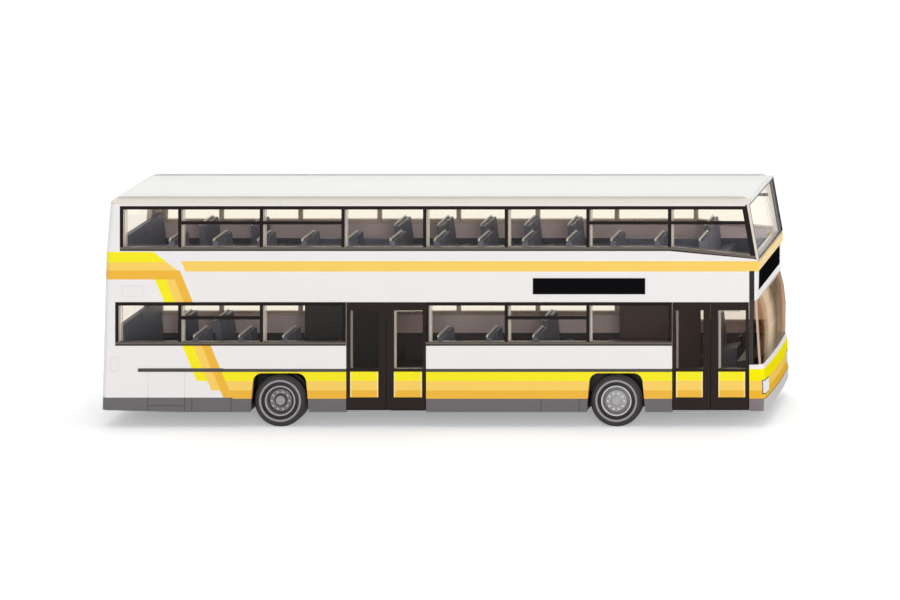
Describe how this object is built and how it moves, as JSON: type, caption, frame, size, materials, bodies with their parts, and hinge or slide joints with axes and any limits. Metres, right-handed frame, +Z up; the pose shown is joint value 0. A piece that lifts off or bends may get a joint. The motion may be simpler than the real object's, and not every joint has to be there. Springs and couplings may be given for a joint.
{
  "type": "scale model double decker bus",
  "caption": "Scale model of a double decker city bus with striped sides, clear glazing, furnished decks and wheels that roll on their axles.",
  "frame": {"origin": "on the floor under the middle of the bus", "axes": "+X to the front of the bus, +Y to its left side, +Z up"},
  "size_m": [0.1296, 0.029, 0.0449],
  "materials": {
    "body_paint": "satin moulded white with printed stripes",
    "roof_white": "satin moulded off-white",
    "frame_black": "printed black",
    "door_brown": "dark brown moulding",
    "clear_smoke": "clear, lightly smoked polystyrene",
    "clear_brown": "clear, brown tinted polystyrene",
    "stripe_yellow": "printed stripes, yellow to orange",
    "bumper_grey": "light grey moulding",
    "lamp_clear": "silvered lamp face",
    "lamp_red": "printed lamp colours",
    "seat_slate": "dark slate moulding",
    "stair_dark": "dark moulding",
    "cab_brown": "dark brown moulding",
    "chassis_black": "black moulding",
    "steel": "drawn wire",
    "rim_silver": "silver coloured moulding",
    "rim_grey": "silver grey moulding",
    "tyre_black": "matt black moulding"
  },
  "bodies": {
    "bus_body": {"body_shell": "body_paint", "roof": "roof_white", "upper_frames_right": "frame_black", "upper_frames_left": "frame_black", "lower_frames_right": "frame_black", "lower_frames_left": "frame_black", "rear_frames": "frame_black", "upper_glass_right": "clear_smoke", "upper_glass_left": "clear_smoke", "lower_glass_right": "clear_smoke", "lower_glass_left": "clear_smoke", "rear_glass": "clear_smoke", "front_bumper": "bumper_grey", "front_panel": "stripe_yellow", "headlights": "lamp_clear", "windscreen": "clear_brown", "front_header": "body_paint", "front_sign": "frame_black", "upper_front_frame": "frame_black", "upper_front_glass": "clear_smoke", "front_door_leaves": "door_brown", "front_door_panels": "stripe_yellow", "front_door_glass": "clear_brown", "middle_door_leaves": "door_brown", "middle_door_panels": "stripe_yellow", "middle_door_glass": "clear_brown", "upper_deck": "seat_slate", "lower_deck": "seat_slate", "rear_stair": "stair_dark", "front_stair": "cab_brown", "dashboard": "stair_dark", "steering_wheel": "chassis_black", "driver_seat": "seat_slate", "chassis": "chassis_black", "rub_rails": "frame_black", "side_sign": "frame_black", "tail_lamps": "lamp_red", "rear_grille": "frame_black"},
    "front_wheelset": {"front_axle": "steel", "front_rims": "rim_silver", "front_tyres": "tyre_black"},
    "rear_wheelset": {"rear_axle": "steel", "rear_rims": "rim_grey", "rear_tyres": "tyre_black"}
  },
  "joints": [
    {"name": "front_wheels_roll", "type": "hinge", "parent": "bus_body", "child": "front_wheelset", "pos_m": [0.03525, 0, 0.00507], "axis": [0, 1, 0], "continuous": true},
    {"name": "rear_wheels_roll", "type": "hinge", "parent": "bus_body", "child": "rear_wheelset", "pos_m": [-0.03007, 0, 0.00507], "axis": [0, 1, 0], "continuous": true}
  ]
}
